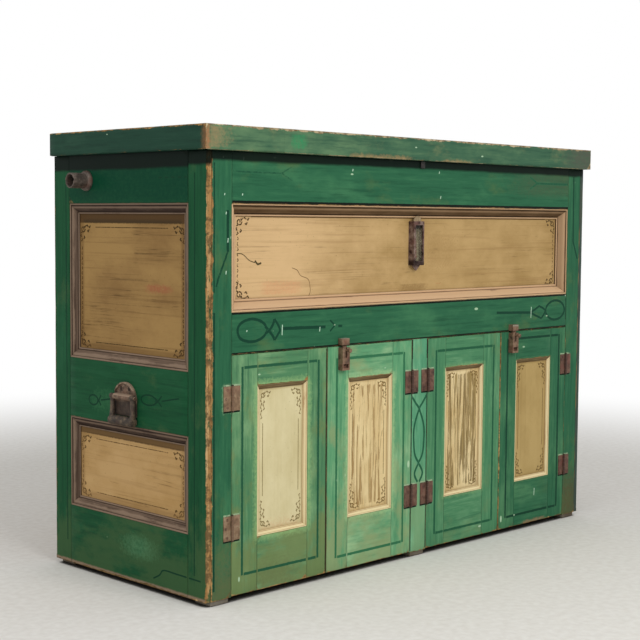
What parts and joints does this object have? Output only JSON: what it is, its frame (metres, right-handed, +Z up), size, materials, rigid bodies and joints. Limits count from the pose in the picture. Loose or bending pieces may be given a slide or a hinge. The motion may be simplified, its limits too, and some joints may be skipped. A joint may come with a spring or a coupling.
{
  "type": "creamery cabinet",
  "caption": "Painted wooden creamery cabinet: lidded metal-lined water tank over a cupboard with panelled doors, side lifting handles and an overflow pipe.",
  "frame": {"origin": "middle of the whole part's box, on the ground", "axes": "+X along the front to the right, +Y from the front to the back, +Z up"},
  "size_m": [1.3704, 0.5662, 0.976],
  "materials": {
    "front_green_paint": "worn chalky oil paint on boards",
    "side_green_paint": "worn oil paint on boards",
    "moulding_paint": "worn mauve brown paint on moulding",
    "door_moulding_paint": "worn buff paint on thin moulding",
    "buff_paint": "worn buff paint on grained panels",
    "bare_boards": "aged unpainted softwood",
    "foot_blocks": "grey weathered blocks",
    "rusted_iron": "rusted dull iron",
    "zinc_sheet": "dull zinc sheet",
    "painted_tin": "dull dark tin",
    "glass": "clear glass",
    "scale_plate": "tarnished plate"
  },
  "bodies": {
    "carcass": {"front_left_stile": "front_green_paint", "front_right_stile": "front_green_paint", "front_centre_stile": "front_green_paint", "front_top_rail": "front_green_paint", "front_mid_rail": "front_green_paint", "tank_front_panel": "buff_paint", "tank_front_moulding": "moulding_paint", "left_side_frame": "side_green_paint", "left_side_panels": "buff_paint", "left_side_mouldings": "moulding_paint", "right_side_frame": "side_green_paint", "right_side_panels": "buff_paint", "right_side_mouldings": "moulding_paint", "back_boards": "bare_boards", "floor_boards": "bare_boards", "feet": "foot_blocks", "tank_deck": "bare_boards", "deck_cleats": "bare_boards", "cupboard_partition": "bare_boards", "tank_liner": "zinc_sheet", "overflow_pipe": "rusted_iron", "pipe_collar": "rusted_iron", "left_handle_plate": "rusted_iron", "right_handle_plate": "rusted_iron", "door_hinge_frame_leaves": "rusted_iron", "door_hinge_pins": "rusted_iron", "latch_keepers": "rusted_iron", "lid_catch_plate": "rusted_iron", "lid_hinge_body_leaves": "rusted_iron", "thermometer_case": "painted_tin", "thermometer_glass": "glass", "thermometer_scale": "scale_plate", "thermometer_tube": "glass"},
    "lid": {"lid_rim": "side_green_paint", "lid_boards": "side_green_paint", "lid_lining": "zinc_sheet", "lid_hinge_lid_leaves": "rusted_iron"},
    "door_1": {"door_1_frame": "front_green_paint", "door_1_panel": "buff_paint", "door_1_moulding": "door_moulding_paint", "door_1_hinge_leaves": "rusted_iron"},
    "door_2": {"door_2_frame": "front_green_paint", "door_2_panel": "buff_paint", "door_2_moulding": "door_moulding_paint", "door_2_hinge_leaves": "rusted_iron", "door_2_latch_case": "rusted_iron"},
    "door_3": {"door_3_frame": "front_green_paint", "door_3_panel": "buff_paint", "door_3_moulding": "door_moulding_paint", "door_3_hinge_leaves": "rusted_iron"},
    "door_4": {"door_4_frame": "front_green_paint", "door_4_panel": "buff_paint", "door_4_moulding": "door_moulding_paint", "door_4_hinge_leaves": "rusted_iron", "door_4_latch_case": "rusted_iron"},
    "bolt_2": {"door_2_bolt": "rusted_iron"},
    "bolt_4": {"door_4_bolt": "rusted_iron"},
    "left_bail": {"left_handle_bail": "rusted_iron"},
    "right_bail": {"right_handle_bail": "rusted_iron"}
  },
  "joints": [
    {"name": "lid_hinge", "type": "hinge", "parent": "carcass", "child": "lid", "pos_m": [0.01175, 0.27815, 0.925], "axis": [-1, 0, 0], "range_deg": [0, 100]},
    {"name": "door_1_hinge", "type": "hinge", "parent": "carcass", "child": "door_1", "pos_m": [-0.57275, -0.25855, 0.28], "axis": [0, 0, -1], "range_deg": [0, 170]},
    {"name": "door_2_hinge", "type": "hinge", "parent": "carcass", "child": "door_2", "pos_m": [-0.01675, -0.25855, 0.28], "axis": [0, 0, 1], "range_deg": [0, 90]},
    {"name": "door_3_hinge", "type": "hinge", "parent": "carcass", "child": "door_3", "pos_m": [0.04025, -0.25855, 0.28], "axis": [0, 0, -1], "range_deg": [0, 90]},
    {"name": "door_4_hinge", "type": "hinge", "parent": "carcass", "child": "door_4", "pos_m": [0.59625, -0.25855, 0.28], "axis": [0, 0, 1], "range_deg": [0, 170]},
    {"name": "bolt_2_slide", "type": "slide", "parent": "door_2", "child": "bolt_2", "axis": [0, 0, 1], "range_m": [-0.008, 0.006]},
    {"name": "bolt_4_slide", "type": "slide", "parent": "door_4", "child": "bolt_4", "axis": [0, 0, 1], "range_m": [-0.008, 0.006]},
    {"name": "left_bail_hinge", "type": "hinge", "parent": "carcass", "child": "left_bail", "pos_m": [-0.64975, 0.00885, 0.407], "axis": [0, 1, 0], "range_deg": [0, 90]},
    {"name": "right_bail_hinge", "type": "hinge", "parent": "carcass", "child": "right_bail", "pos_m": [0.67325, 0.00885, 0.407], "axis": [0, -1, 0], "range_deg": [0, 90]}
  ]
}
